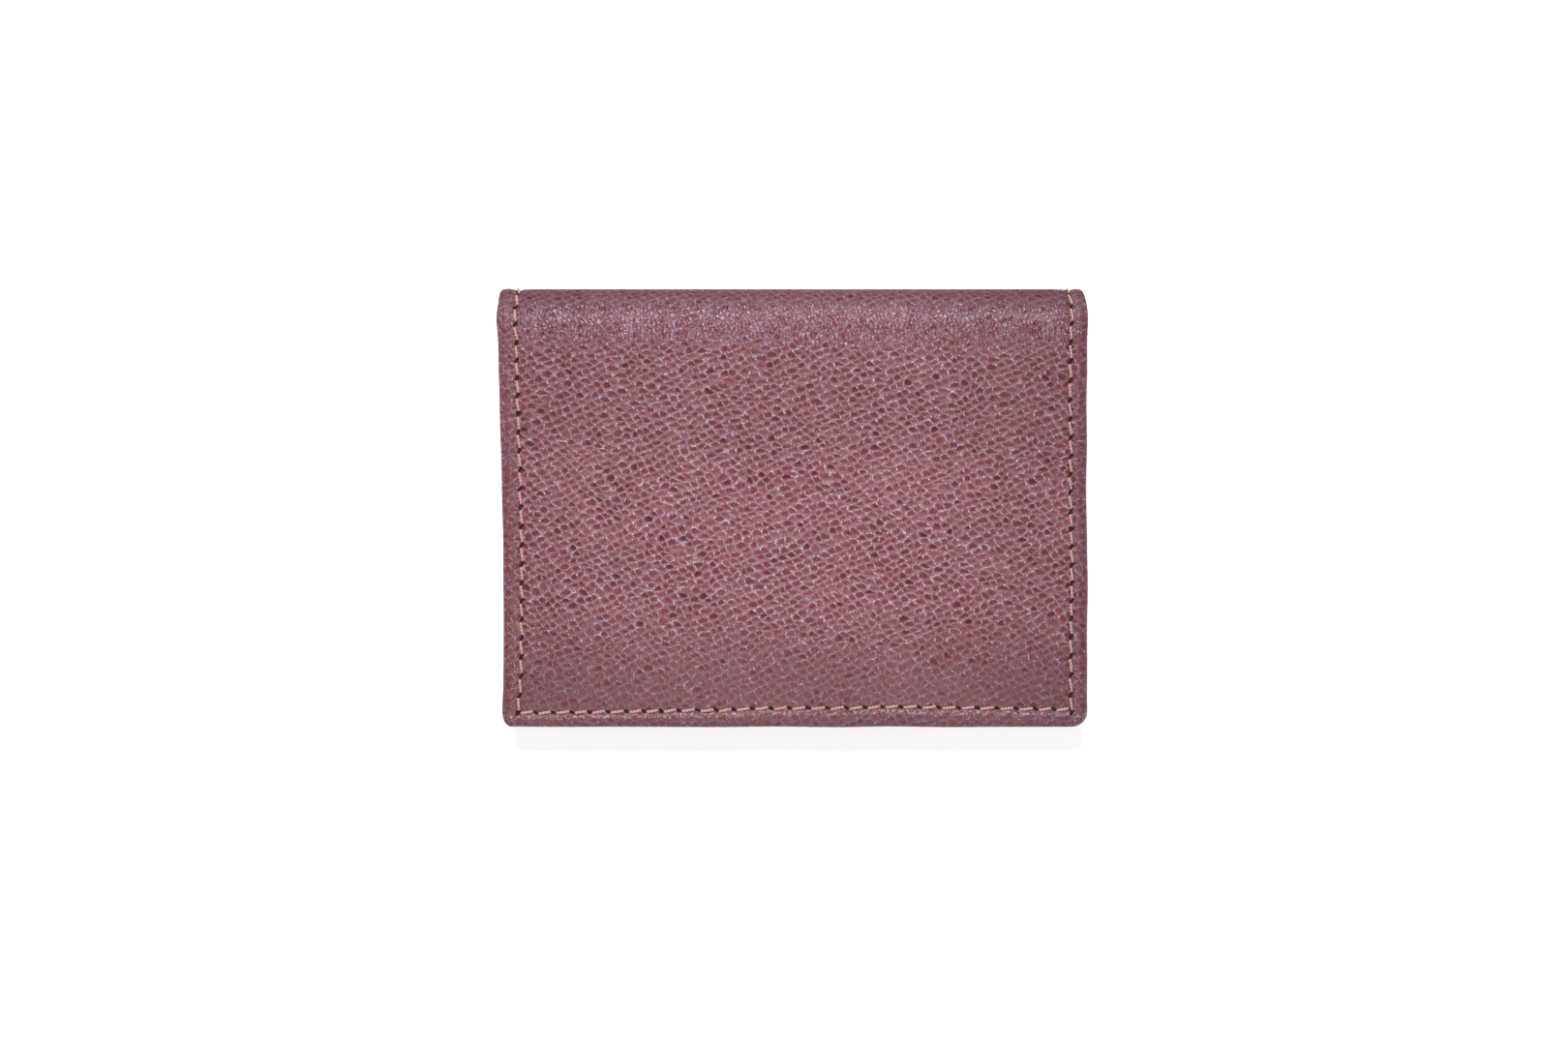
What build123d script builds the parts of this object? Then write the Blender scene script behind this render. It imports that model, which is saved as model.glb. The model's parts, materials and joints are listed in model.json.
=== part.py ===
"""Folding leather business card case, closed and lying on its back cover.

Row frame, millimetres: +X to the right, +Y from the stitched free edge to the fold, +Z up.
The origin is the centre of the bottom of the bounding box, on the back cover's outer face.
The cover is one strip of leather in the real case. Here it is cut along its two creases, at a
quarter and three quarters of the fold's turn, so that the fold can unroll when the case opens.
"""

import os
from math import asin, cos, degrees, radians, sin, tan

from build123d import *

# Driving dimensions
WIDTH = 104.0  # along X
HEIGHT = 78.0  # along Y, from free edge to fold
FOLD_THICKNESS = 13.0  # over the fold, where the case is thickest
WEDGE = 3.4  # degrees that the front cover slopes down to the free edge
CORNER_LEFT = 1.4  # radius of the free edge's corners
CORNER_RIGHT = 2.4

# Sheet thicknesses
COVER = 1.5  # cover leather
BOARD = 0.5  # stiffener, let into the inside of the cover leather
LINING = 0.4
SLOT = 0.8  # card slot panels on the front cover
SLIP = 0.7  # slip pocket panel on the back cover
WALL = 0.8  # front wall of the card pocket
GUSSET = 0.6

# Insets and gaps
EDGE = 1.2  # from the cover's edge to the lining and the board
BOARD_TO_FOLD = 2.0
POCKET_EDGE = 2.0  # from the cover's side edge to the pocket wall
POCKET_FOOT = 1.8  # from the free edge to the pocket wall
CLOSED_GAP = 0.3  # between the slots and the pocket wall when the case is shut
CREASE_GAP = 0.3  # between the cover's pieces along a crease
SHEET_GAP = 0.02  # between layers that lie against each other without touching

# Heights of the pocket and slot mouths above the free edge, along the cover
POCKET_MOUTH = 61.0
SLIP_MOUTH = 65.0
REAR_SLOT_MOUTH = 52.0
FRONT_SLOT_MOUTH = 38.0

# Thumb notch in the pocket wall
NOTCH_RADIUS = 9.0
NOTCH_RISE = 1.0  # height of the notch's centre above the mouth
NOTCH_CORNER = 2.0

# Gusset, seen along Y
FLANGE_OUTER = 49.8  # distances from the middle of the case
FLANGE_INNER = 45.6
CREASE_AT_MOUTH = 39.6
CREASE_AT_FOOT = 45.0
GUSSET_FOOT = 2.1  # from the free edge to the gusset's foot
GUSSET_BELOW_MOUTH = 1.0
HEM = 4.0  # depth of the turned hem that closes the pocket's foot
HEM_HALF_WIDTH = 43.6

# Seams
SEAM_SIDE = 3.2  # from the side edges
SEAM_FOOT = 2.8  # from the free edge
PITCH = 3.4
STITCH = 2.6
THREAD = 0.6  # width of a stitch
THREAD_DEPTH = 0.3
GROOVE = 0.9
GROOVE_DEPTH = 0.35
WALL_GROOVE_DEPTH = 0.3
WALL_SEAM = 47.8  # distance of the pocket's side seams from the middle
WALL_SEAM_FOOT = 4.5  # from the free edge to the first stitch

# Worked out from the above
RADIUS = FOLD_THICKNESS / 2
FOLD_Y = HEIGHT / 2 - RADIUS  # the fold's centre line
TURN = 180.0 + WEDGE  # the fold's whole turn
BACK_CREASE = TURN / 4
FRONT_CREASE = 3 * TURN / 4
HALF_CREASE = degrees(asin(CREASE_GAP / 2 / RADIUS))
PANEL = COVER + LINING  # a cover's whole thickness
FLOOR = PANEL + SLIP  # the card pocket's floor, above the back cover's outer face
BACK_LENGTH = HEIGHT / 2 + FOLD_Y
FRONT_LENGTH = (BACK_LENGTH - RADIUS * sin(radians(WEDGE))) / cos(radians(WEDGE))
WALL_DEPTH = PANEL + 2 * SLOT + CLOSED_GAP  # from the front cover's outer face
WALL_INSIDE = WALL_DEPTH + WALL + LINING
SEAM_X = WIDTH / 2 - SEAM_SIDE
STITCH_TURN = TURN / 6  # the fold takes six stitches


def on_back(shape):
    """Places a piece drawn about the fold's centre on the back cover."""
    return Pos(0, FOLD_Y, RADIUS) * shape


def on_front(shape):
    """Places a piece drawn about the fold's centre on the front cover."""
    return Pos(0, FOLD_Y, RADIUS) * Rot(X=WEDGE) * mirror(shape, about=Plane.XY)


def slab(width, foot, top, depth, thickness, radii=(0, 0)):
    """A flat sheet from y = foot to y = top, its lower face that deep inside the fold's radius."""
    sheet = Pos(0, (foot + top) / 2) * Rectangle(width, top - foot)
    for corner, radius in zip(sheet.vertices().group_by(Axis.Y)[0].sort_by(Axis.X), radii):
        if radius:
            sheet = fillet(sheet.vertices().sort_by_distance(corner.center())[0], radius)
    return extrude(Pos(0, 0, depth - RADIUS) * sheet, thickness)


def bend(width, depth, thickness, start, end, centre_x=0.0):
    """A sheet curved round the fold's centre from one angle to another, 0 being straight down."""
    outer, inner = RADIUS - depth, RADIUS - depth - thickness

    def at(radius, angle):
        return Vector(radius * sin(radians(angle)), -radius * cos(radians(angle)))

    middle = (start + end) / 2
    outline = [
        ThreePointArc(at(outer, start), at(outer, middle), at(outer, end)),
        Line(at(outer, end), at(inner, end)),
        ThreePointArc(at(inner, end), at(inner, middle), at(inner, start)),
        Line(at(inner, start), at(outer, start)),
    ]
    return Pos(centre_x, 0, 0) * extrude(Plane.YZ * make_face(outline), width / 2, both=True)


def cover_leather(length):
    """One cover's leather, curled up to the crease, with the board's recess and the seam groove."""
    corners = (CORNER_LEFT, CORNER_RIGHT)
    leather = slab(WIDTH, -length, 0, 0, COVER, corners)
    leather += bend(WIDTH, 0, COVER, 0, BACK_CREASE - HALF_CREASE)
    leather -= board(length)
    outer = Rectangle(2 * SEAM_X + GROOVE, length)
    inner = Rectangle(2 * SEAM_X - GROOVE, length)
    path = Pos(0, SEAM_FOOT - GROOVE / 2) * outer - Pos(0, SEAM_FOOT + GROOVE / 2) * inner
    groove = extrude(Pos(0, -length / 2, -RADIUS) * path, GROOVE_DEPTH)
    leather -= groove & slab(WIDTH, -length, 0, 0, COVER)
    for side in (-1, 1):
        leather -= bend(GROOVE, 0, GROOVE_DEPTH, 0, BACK_CREASE, side * SEAM_X)
    return leather


def board(length):
    """The stiffener board inside one cover."""
    return slab(WIDTH - 2 * EDGE, EDGE - length, -BOARD_TO_FOLD, COVER - BOARD, BOARD)


def cover_lining(length):
    """One cover's lining, which follows the leather up to the crease."""
    lining = slab(WIDTH - 2 * EDGE, EDGE - length, 0, COVER, LINING)
    return lining + bend(WIDTH - 2 * EDGE, COVER, LINING, 0, BACK_CREASE - HALF_CREASE)


def stitch(x, y, along_x=False):
    """One stitch in the flat part of a seam groove."""
    size = (STITCH, THREAD) if along_x else (THREAD, STITCH)
    depth = GROOVE_DEPTH - THREAD_DEPTH / 2 - RADIUS
    return Pos(x, y, depth) * Box(*size, THREAD_DEPTH)


def bent_stitch(x, start, end):
    """One stitch in the curved part of a seam groove."""
    depth = GROOVE_DEPTH - THREAD_DEPTH - SHEET_GAP
    return bend(THREAD, depth, THREAD_DEPTH, start, end, x)


def cover_thread(length):
    """The stitches of one cover: along its sides, along its free edge and up to the crease."""
    half_turn = degrees(STITCH / 2 / RADIUS)
    stitches = []
    rows = int((length - SEAM_FOOT - STITCH) / PITCH)
    for x in (-SEAM_X, SEAM_X):
        stitches += [stitch(x, -PITCH * row) for row in range(1, rows + 1)]
        over_edge = slab(THREAD, -STITCH / 2, 0, GROOVE_DEPTH - THREAD_DEPTH, THREAD_DEPTH)
        stitches.append(Pos(x, 0, 0) * over_edge)
        stitches.append(bent_stitch(x, STITCH_TURN - half_turn, STITCH_TURN + half_turn))
    columns = int((2 * SEAM_X - STITCH) / PITCH)
    first = -PITCH * (columns - 1) / 2
    foot = SEAM_FOOT - length
    stitches += [stitch(first + PITCH * column, foot, True) for column in range(columns)]
    return stitches


def fold_thread():
    """The six stitches that go over the fold, three on each side."""
    half_turn = degrees(STITCH / 2 / RADIUS)
    return [
        bent_stitch(x, turn * STITCH_TURN - half_turn, turn * STITCH_TURN + half_turn)
        for x in (-SEAM_X, SEAM_X)
        for turn in (2, 3, 4)
    ]


def fold_sheet(width, depth, thickness):
    """The part of a sheet between the two creases."""
    return bend(
        width, depth, thickness, BACK_CREASE + HALF_CREASE, FRONT_CREASE - HALF_CREASE
    )


def fold_leather():
    """The cover leather between the creases, with its seam grooves."""
    leather = fold_sheet(WIDTH, 0, COVER)
    for side in (-1, 1):
        leather -= bend(GROOVE, 0, GROOVE_DEPTH, BACK_CREASE, FRONT_CREASE, side * SEAM_X)
    return leather


def slot_panel(mouth, layer):
    """A card slot panel on the front cover. Layer 0 lies on the lining."""
    foot = EDGE - FRONT_LENGTH
    return slab(WIDTH - 2 * EDGE, foot, mouth - FRONT_LENGTH, PANEL + layer * SLOT, SLOT)


def wall_outline(thickness, depth):
    """A sheet of the pocket wall, with the thumb notch in its mouth, on the front cover's slope."""
    foot, mouth = POCKET_FOOT - FRONT_LENGTH, POCKET_MOUTH - FRONT_LENGTH
    sheet = Pos(0, (foot + mouth) / 2) * Rectangle(WIDTH - 2 * POCKET_EDGE, mouth - foot)
    sheet -= Pos(0, mouth + NOTCH_RISE) * Circle(NOTCH_RADIUS)
    at_mouth = sheet.vertices().group_by(Axis.Y)[-1].sort_by(Axis.X)
    sheet = fillet(at_mouth[1:3], NOTCH_CORNER)
    return extrude(Pos(0, 0, depth - RADIUS) * sheet, thickness)


def slope_height(y, depth):
    """Height over the back cover of a plane that deep below the front cover's outer face."""
    slope = radians(WEDGE)
    return RADIUS + (RADIUS - depth) / cos(slope) + (y - FOLD_Y) * tan(slope)


def pocket_hinge():
    """Where the pocket wall turns, at the outer corner of its hem's underside: its Y and Z."""
    slope = radians(WEDGE)
    along, above = POCKET_FOOT - FRONT_LENGTH, RADIUS - WALL_DEPTH - WALL / 2
    return FOLD_Y + along * cos(slope) - above * sin(slope), FLOOR + 2 * SHEET_GAP


def pocket_wall():
    """The pocket's front wall: its sheet, the hem that closes its foot, and two seam grooves."""
    wall = wall_outline(WALL, WALL_DEPTH)
    rows = slab(GROOVE, WALL_SEAM_FOOT - 2 - FRONT_LENGTH, POCKET_MOUTH - FRONT_LENGTH,
                WALL_DEPTH, WALL_GROOVE_DEPTH)
    for side in (-1, 1):
        wall -= Pos(side * WALL_SEAM, 0, 0) * rows
    foot, under = pocket_hinge()
    inside_sheet = WALL_DEPTH + WALL / 2
    profile = [
        (foot, under),
        (foot + HEM, under),
        (foot + HEM, slope_height(foot + HEM, inside_sheet)),
        (foot, slope_height(foot, inside_sheet)),
    ]
    hem = Plane.YZ * make_face(Polyline(*profile, close=True))
    return on_front(wall) + extrude(hem, HEM_HALF_WIDTH, both=True)


def wall_lining():
    """The pocket wall's lining, cut short at the foot to clear the hem."""
    lining = wall_outline(LINING, WALL_DEPTH + WALL)
    keep = slab(WIDTH, POCKET_FOOT + HEM + 1 - FRONT_LENGTH, 0, 0, FOLD_THICKNESS)
    return on_front(lining & keep)


def wall_thread(side):
    """One side seam of the pocket wall."""
    rows = int((POCKET_MOUTH - WALL_SEAM_FOOT) / PITCH)
    depth = WALL_DEPTH + WALL_GROOVE_DEPTH - THREAD_DEPTH / 2 - RADIUS
    first = WALL_SEAM_FOOT - FRONT_LENGTH
    return [
        on_front(Pos(side * WALL_SEAM, first + PITCH * row, depth)
                 * Box(THREAD, STITCH, THREAD_DEPTH - SHEET_GAP))
        for row in range(rows)
    ]


def gusset(side):
    """One side gusset: a V of thin leather with a flange on the floor and one under the wall."""

    def section(y, crease):
        low, high = FLOOR, slope_height(y, WALL_INSIDE) - SHEET_GAP
        middle = (low + high) / 2
        points = [
            (FLANGE_OUTER, low),
            (FLANGE_INNER, low),
            (crease, middle),
            (FLANGE_INNER, high),
            (FLANGE_OUTER, high),
            (FLANGE_OUTER, high - GUSSET),
            (FLANGE_INNER + GUSSET, high - GUSSET),
            (crease + 1.6 * GUSSET, middle),
            (FLANGE_INNER + GUSSET, low + GUSSET),
            (FLANGE_OUTER, low + GUSSET),
        ]
        corners = [Vector(side * x, y, z) for x, z in points]
        return make_face(Polyline(*corners, close=True))

    foot = GUSSET_FOOT - HEIGHT / 2
    mouth = POCKET_MOUTH - GUSSET_BELOW_MOUTH - HEIGHT / 2
    return loft([section(foot, CREASE_AT_FOOT), section(mouth, CREASE_AT_MOUTH)], ruled=True)


def build():
    """Every piece by its node name."""
    width = WIDTH - 2 * EDGE
    return {
        "back_cover_leather": on_back(cover_leather(BACK_LENGTH)),
        "back_stiffener_board": on_back(board(BACK_LENGTH)),
        "back_lining": on_back(cover_lining(BACK_LENGTH)),
        "back_slip_pocket": on_back(
            slab(width, EDGE - BACK_LENGTH, SLIP_MOUTH - BACK_LENGTH, PANEL, SLIP)),
        "back_seam_thread": [on_back(s) for s in cover_thread(BACK_LENGTH)],
        "left_gusset": gusset(-1),
        "right_gusset": gusset(1),
        "fold_leather": on_back(fold_leather()),
        "fold_lining": on_back(fold_sheet(width, COVER, LINING)),
        "fold_seam_thread": [on_back(s) for s in fold_thread()],
        "front_cover_leather": on_front(cover_leather(FRONT_LENGTH)),
        "front_stiffener_board": on_front(board(FRONT_LENGTH)),
        "front_lining": on_front(cover_lining(FRONT_LENGTH)),
        "rear_card_slot": on_front(slot_panel(REAR_SLOT_MOUTH, 0)),
        "front_card_slot": on_front(slot_panel(FRONT_SLOT_MOUTH, 1)),
        "front_seam_thread": [on_front(s) for s in cover_thread(FRONT_LENGTH)],
        "pocket_front_leather": pocket_wall(),
        "pocket_front_lining": wall_lining(),
        "left_pocket_seam_thread": wall_thread(-1),
        "right_pocket_seam_thread": wall_thread(1),
    }


def crease_axis(turn):
    """Where a crease's axis crosses the YZ plane, on the outer face of the fold."""
    return FOLD_Y + RADIUS * sin(radians(turn)), RADIUS - RADIUS * cos(radians(turn))


os.makedirs("parts", exist_ok=True)
for node, piece in build().items():
    solids = Compound(piece if isinstance(piece, list) else piece.solids())
    export_step(solids, f"parts/{node}.step")
print("back crease", crease_axis(BACK_CREASE), "front crease", crease_axis(FRONT_CREASE))
print("each crease turns", TURN / 2, "degrees; pocket hinge", pocket_hinge())
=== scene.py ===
"""Looks for the folding leather business card case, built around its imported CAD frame.

Everything is in metres, in the row frame. The case lies closed on its back cover, with its fold
at +Y. A place on a cover is given on the flattened leather: x across it, s along its outer face
from the free edge, and the depth below that face. Cover.place() wraps such places round the fold.
"""

import functools
import json
import math

import bpy
import numpy as np
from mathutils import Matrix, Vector

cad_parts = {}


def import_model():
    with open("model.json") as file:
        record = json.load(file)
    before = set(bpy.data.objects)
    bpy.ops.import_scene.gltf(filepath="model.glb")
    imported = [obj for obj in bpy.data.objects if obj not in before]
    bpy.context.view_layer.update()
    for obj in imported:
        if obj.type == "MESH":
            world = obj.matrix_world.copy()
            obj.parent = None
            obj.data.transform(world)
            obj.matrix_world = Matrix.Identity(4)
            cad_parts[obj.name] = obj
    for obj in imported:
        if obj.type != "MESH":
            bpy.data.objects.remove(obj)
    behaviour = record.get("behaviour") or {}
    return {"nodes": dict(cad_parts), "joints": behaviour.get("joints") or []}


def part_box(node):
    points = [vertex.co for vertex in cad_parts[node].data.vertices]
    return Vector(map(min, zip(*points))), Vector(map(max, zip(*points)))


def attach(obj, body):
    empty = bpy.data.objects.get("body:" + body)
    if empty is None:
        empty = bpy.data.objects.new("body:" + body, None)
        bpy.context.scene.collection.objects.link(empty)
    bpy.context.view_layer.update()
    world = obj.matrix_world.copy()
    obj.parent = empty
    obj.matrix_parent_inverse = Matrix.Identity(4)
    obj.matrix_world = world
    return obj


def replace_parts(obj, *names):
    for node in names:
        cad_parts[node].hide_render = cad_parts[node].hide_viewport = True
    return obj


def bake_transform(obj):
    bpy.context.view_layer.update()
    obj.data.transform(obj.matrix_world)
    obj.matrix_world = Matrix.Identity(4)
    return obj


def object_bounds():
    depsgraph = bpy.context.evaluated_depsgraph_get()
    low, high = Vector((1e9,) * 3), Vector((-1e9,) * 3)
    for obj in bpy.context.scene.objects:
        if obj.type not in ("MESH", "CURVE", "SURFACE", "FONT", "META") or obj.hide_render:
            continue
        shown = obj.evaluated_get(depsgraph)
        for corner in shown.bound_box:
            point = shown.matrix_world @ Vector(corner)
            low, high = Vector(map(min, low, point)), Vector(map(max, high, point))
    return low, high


MM = 0.001

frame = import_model()
CAD_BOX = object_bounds()


# ---- sizes, read from the frame

def top_of(node):
    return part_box(node)[1].z


CREASE_JOINT = next(joint for joint in frame["joints"] if joint["name"] == "back_crease")
CREASE = CREASE_JOINT["pos_m"]
HALF_TURN = math.radians(CREASE_JOINT["range_deg"][1])  # each crease unrolls half the fold
WEDGE = 2 * HALF_TURN - math.pi  # slope of the front cover
RADIUS = CREASE[2] / (1 - math.cos(HALF_TURN / 2))
FOLD_Y = CREASE[1] - RADIUS * math.sin(HALF_TURN / 2)
FREE_Y = CAD_BOX[0].y
HALF_WIDTH = CAD_BOX[1].x
COVER = top_of("back_stiffener_board")  # thickness of the cover leather
SLIP = top_of("back_slip_pocket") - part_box("back_slip_pocket")[0].z
FLOOR = top_of("back_slip_pocket")  # the card pocket's floor
PANEL = FLOOR - SLIP  # thickness of the cover leather and its lining
LINING_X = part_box("back_slip_pocket")[1].x
EDGE = HALF_WIDTH - LINING_X  # from the cover's edge to its lining
BACK_LENGTH = FOLD_Y - FREE_Y
FRONT_LENGTH = (BACK_LENGTH - RADIUS * math.sin(WEDGE)) / math.cos(WEDGE)
HALF_FOLD = RADIUS * HALF_TURN  # along the outer face, from a cover's flat part to mid-fold


def along_front(y, depth):
    """How far a place at that y is from the free edge, along the front cover."""
    return FRONT_LENGTH + (y - FOLD_Y + (RADIUS - depth) * math.sin(WEDGE)) / math.cos(WEDGE)


def front_depth(node):
    """Depth of a flat CAD node's inner face below the front cover's outer face."""
    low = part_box(node)[0]
    return RADIUS + (low.y - FOLD_Y) * math.sin(WEDGE) - (low.z - RADIUS) * math.cos(WEDGE)


SLOT = (front_depth("front_card_slot") - PANEL) / 2  # thickness of a card slot's panel
REAR_MOUTH = along_front(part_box("rear_card_slot")[1].y, PANEL)
FRONT_MOUTH = along_front(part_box("front_card_slot")[1].y, PANEL + SLOT)
SLIP_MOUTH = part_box("back_slip_pocket")[1].y - FREE_Y
WALL_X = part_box("pocket_front_leather")[1].x
WALL_LEATHER = 0.8 * MM  # thickness of the pocket wall's leather
WALL_LINING = 0.4 * MM
WALL_BACK = front_depth("pocket_front_lining")
WALL_DEPTH = WALL_BACK - WALL_LEATHER - WALL_LINING
WALL_MOUTH = along_front(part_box("pocket_front_leather")[1].y, WALL_DEPTH)
WALL_FOOT = along_front(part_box("pocket_front_leather")[0].y, WALL_DEPTH)
GUSSET_LOW, GUSSET_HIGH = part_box("right_gusset")
WALL_SEAM_X = (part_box("right_pocket_seam_thread")[0].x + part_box("right_pocket_seam_thread")[1].x) / 2

# Seams. Insets are from the side edges and from the free edge.
PITCH = 3.3 * MM
LEFT_INSET = 3.3 * MM
RIGHT_INSET = 2.9 * MM
FOOT_INSET = 2.5 * MM
DRIFT = 0.4 * MM  # how far the left seam drifts outwards by its foot
FOOT_START = LEFT_INSET - DRIFT - HALF_WIDTH  # x of the foot seam's first hole
THREAD = 0.55 * MM  # thickness of the sewn thread
TIGHT = {0: 1.0, -1: 0.92, 1: 0.84}  # how thin it is drawn, by part of the seam: foot, left, right
HOLE_LENGTHS = 0.60, 0.50  # half the length of a needle hole in millimetres, at the sides and foot
HOLE_WIDTH = 0.30  # half of it, also in millimetres
HOLE_LEAN = math.radians(30)  # from the seam's line
RIM = 0.4 * MM  # the largest radius of the edges of the sheets inside the case
STEP = PITCH / 10  # of a cover's mesh
SHOWN_STEP = 0.5 * MM  # of the mesh of a pocket's leather


# ---- curves and soft steps

def smooth(value, low, high):
    """0 below low, 1 above high, and a soft step between."""
    t = np.clip((value - low) / (high - low), 0, 1)
    return t * t * (3 - 2 * t)


def bell(value, width):
    return np.exp(-(value / width) ** 2)


def waves(a, b, seed, length, count=7):
    """A slow uneven surface from -1 to 1, with features of about that length."""
    random = np.random.default_rng(seed)
    total = np.zeros(np.broadcast(a, b).shape)
    for _ in range(count):
        angle = random.uniform(0, math.tau)
        rate = math.tau / (length * random.uniform(0.7, 1.8))
        total += np.sin(rate * (a * math.cos(angle) + b * math.sin(angle)) + random.uniform(0, math.tau))
    return total / count


# ---- the two covers

class Cover:
    """One cover with its half of the fold, and the seam along its three sides."""

    def __init__(self, name, length, seed):
        self.name = name
        self.length = length
        self.end = length + HALF_FOLD
        self.front = name == "front"
        random = np.random.default_rng(seed)
        foot = 2 * HALF_WIDTH - LEFT_INSET + DRIFT - RIGHT_INSET
        self.foot_holes = self.holes(foot, random)
        self.side_holes = {
            side: FOOT_INSET + self.holes(self.end - FOOT_INSET, random)
            for side in (-1, 1)
        }

    @staticmethod
    def holes(length, random):
        """Needle holes along a seam, from its start to its end, as unevenly as a hand feeds it."""
        count = round(length / PITCH)
        steps = random.uniform(0.93, 1.07, count)
        return np.concatenate([[0], np.cumsum(steps)]) * length / steps.sum()

    def place(self, x, s, depth):
        """Row-frame points of places on the flattened leather."""
        turn = np.maximum(s - self.length, 0) / RADIUS
        radius = RADIUS - depth
        y = np.minimum(s - self.length, 0) + radius * np.sin(turn)
        z = radius * np.cos(turn)
        if not self.front:
            return columns(x, FOLD_Y + y, RADIUS - z)
        cos, sin = math.cos(WEDGE), math.sin(WEDGE)
        return columns(x, FOLD_Y + y * cos - z * sin, RADIUS + y * sin + z * cos)

    def texture(self, x, s):
        """Places on the flattened cover leather in millimetres from mid-fold, for the grain."""
        along = (s - self.end) / MM
        return columns(x / MM, along if self.front else -along, 0)

    @staticmethod
    def count_along(place, holes):
        """How many stitches along a seam a place is, with no hole beyond the seam's ends."""
        count = np.interp(place, holes, np.arange(len(holes)))
        before = np.clip((place - holes[0]) / PITCH, -0.5, 0)
        after = np.clip((place - holes[-1]) / PITCH, 0, 0.5)
        return count + before + after

    def side_seam(self, x, s):
        """(stitches along, distance inwards) from the nearer side seam."""
        left = x < 0
        inset = np.where(left, LEFT_INSET - DRIFT * bell(s - FOOT_INSET, 4 * MM), RIGHT_INSET)
        inwards = HALF_WIDTH - np.abs(x) - inset + 0.12 * MM * waves(s, 0 * s + left, 5, 50 * MM, 3)
        counts = [self.count_along(s, self.side_holes[side]) for side in (-1, 1)]
        return np.where(left, -counts[0], counts[1]), inwards

    def foot_seam(self, x, s):
        """(stitches along, distance inwards) from the seam along the free edge."""
        share = (x - FOOT_START) / (2 * HALF_WIDTH)
        bow = 1.1 * MM * bell(share - 0.65, 0.42)
        return self.count_along(x - FOOT_START, self.foot_holes), s - FOOT_INSET - bow

    def shade(self, x, s):
        """Painted shade, standing in for how the light falls off over the case: its margins, its free
        edge and the fold's turn are drawn a little darker.
        """
        side, foot = self.side_seam(x, s)[1], self.foot_seam(x, s)[1]
        margin = (1 - smooth(side, -0.6 * MM, 1.0 * MM)) * np.where(x > 0, 1.9, 1.35)
        margin = np.maximum(margin, 1.8 * (1 - smooth(foot, -0.6 * MM, 1.0 * MM)))
        sides = np.where(x > 0, 0.75, 0.45) * (1 - smooth(HALF_WIDTH - np.abs(x), 4 * MM, 34 * MM))
        low = 1.3 * (1 - smooth(s, 4 * MM, 24 * MM))
        high = 0.5 * smooth(s, 40 * MM, 56 * MM)
        turn = 0.9 * smooth(s, self.length + 1.0 * MM, self.length + 4.0 * MM)
        return np.maximum(margin, low + sides + high + turn)

    def turned(self, s):
        """1 where the fold has turned away from the face: there the leather is made dull, and painted
        darker red as painted shade.
        """
        return smooth(s, self.length + 3.5 * MM, self.length + 7 * MM)

    def seam_place(self, part, number, inwards):
        """The flattened place of a point that many stitches along a part of the seam."""
        if part == 0:
            x = FOOT_START + np.interp(number, np.arange(len(self.foot_holes)), self.foot_holes)
            return x, FOOT_INSET + inwards - self.foot_seam(x, FOOT_INSET + 0 * x)[1]
        holes = self.side_holes[part]
        s = np.interp(number, np.arange(len(holes)), holes)
        x = part * (HALF_WIDTH - RIGHT_INSET if part > 0 else HALF_WIDTH - LEFT_INSET)
        offset = self.side_seam(x + 0 * s, s)[1]
        return x + 0 * s - part * (inwards - offset), s

    def relief(self, x, s):
        """How far the outer face stands above its flat place."""
        along_side, side = self.side_seam(x, s)
        along_foot, foot = self.foot_seam(x, s)
        seam = np.maximum(bell(side, 0.9 * MM), bell(foot, 0.9 * MM))
        high = -0.22 * MM * seam
        for along, across in ((along_side, side), (along_foot, foot)):
            phase = (along - np.round(along)) * PITCH
            hole = np.exp(-((phase / (0.5 * MM)) ** 2 + (across / (0.4 * MM)) ** 2))
            high = high - 0.2 * MM * hole
            beside = bell(np.abs(across) - 1.0 * MM, 0.7 * MM)
            high = high - 0.05 * MM * np.cos(math.tau * along) * beside
        edge = np.minimum(HALF_WIDTH - np.abs(x), s)
        high = high + 0.10 * MM * bell(edge - 1.7 * MM, 0.8 * MM) * (1 - 0.7 * seam)
        pared = 0.30 * MM * (1 - smooth(edge, 0.2 * MM, 1.7 * MM))
        high = high - pared * (1 - 0.8 * smooth(s, self.end - 8 * MM, self.end))
        if not self.front:
            return high - 0.1 * MM
        flat = 1 - smooth(s, self.length - 6 * MM, self.length + 6 * MM)
        inside = smooth(side, 0, 14 * MM) * smooth(foot, 0, 12 * MM)
        crown = 0.45 * MM * inside * bell(s - 34 * MM, 26 * MM) * flat
        uneven = 0.12 * MM * waves(x, s, 11, 26 * MM) * (0.25 + 0.75 * smooth(side, 0, 6 * MM))
        return high + crown + uneven * (0.35 + 0.65 * flat) * smooth(self.end - s, 0, 3 * MM)

    def warp(self, x, s):
        """The sideways wander of hand-cut edges, which carries the seams with it."""
        left = smooth(-x, 20 * MM, HALF_WIDTH)
        right = smooth(x, 20 * MM, HALF_WIDTH)
        near_fold = smooth(s, 25 * MM, self.length + 2 * MM)
        foot = 1 - smooth(s, 0, 16 * MM)
        swell = bell(s - self.length - 1.5 * MM, 3.0 * MM)
        x = x + left * MM * (0.75 * (1 - near_fold) - 0.35 * foot - 0.35 * swell)
        lower = 1 - smooth(s, 30 * MM, 42 * MM)
        outwards = 0.30 + 0.28 * lower + 0.10 * foot + 0.15 * swell
        x = x + right * MM * outwards * smooth(self.end - s, 0, 8 * MM)
        wander = 0.10 * MM * smooth(self.end - s, 0, 12 * MM)
        x = x + (left + right) * wander * waves(s, x * 0 + (x > 0), 21, 14 * MM, 5)
        return x, s + foot * (wander * waves(x, 0 * s, 22, 16 * MM, 5) - 0.15 * MM)

    def bend(self, piece):
        """Bakes a piece's transform into its mesh and returns it."""
        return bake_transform(piece)


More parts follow.
